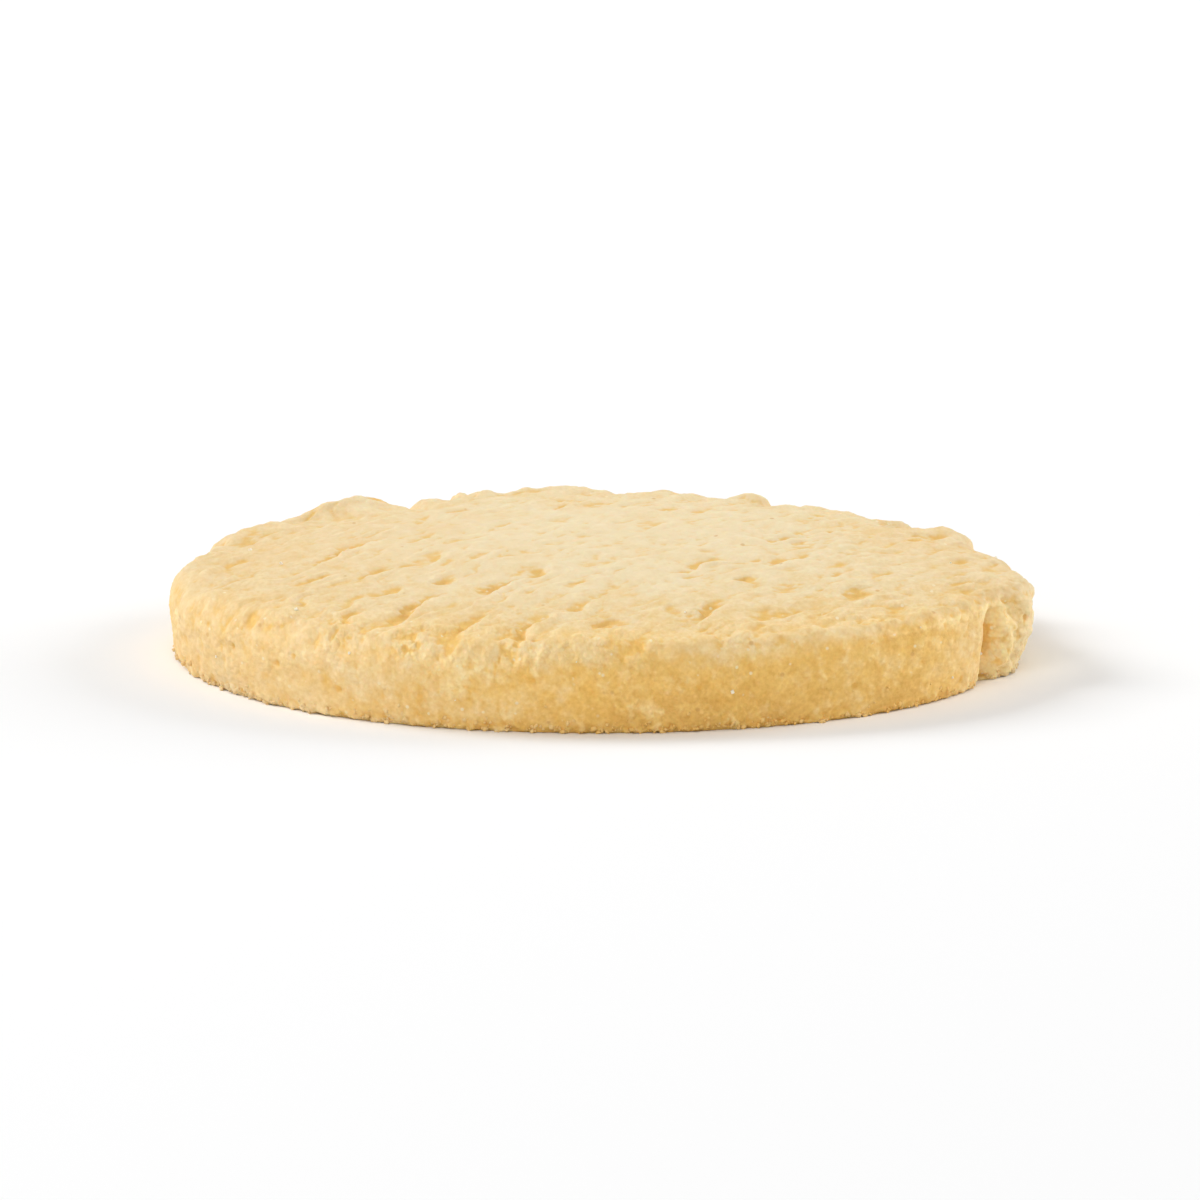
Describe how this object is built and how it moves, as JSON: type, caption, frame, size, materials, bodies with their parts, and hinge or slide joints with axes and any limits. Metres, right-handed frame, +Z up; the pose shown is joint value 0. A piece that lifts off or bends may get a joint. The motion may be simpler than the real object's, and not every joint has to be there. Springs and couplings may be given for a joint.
{
  "type": "shortbread biscuit",
  "caption": "Round shortbread biscuit with a slightly crowned, wire-marked top, a soft shoulder, an upright wall broken at one side, and a flat underside.",
  "frame": {"origin": "middle of the flat underside, on the surface that the biscuit lies on", "axes": "+Z up out of the wire-marked top, +X to the right towards the broken block on the rim, +Y to the back"},
  "size_m": [0.0631, 0.0616, 0.0079],
  "materials": {
    "baked_dough": null
  },
  "bodies": {
    "root": {"biscuit": "baked_dough"}
  },
  "joints": []
}
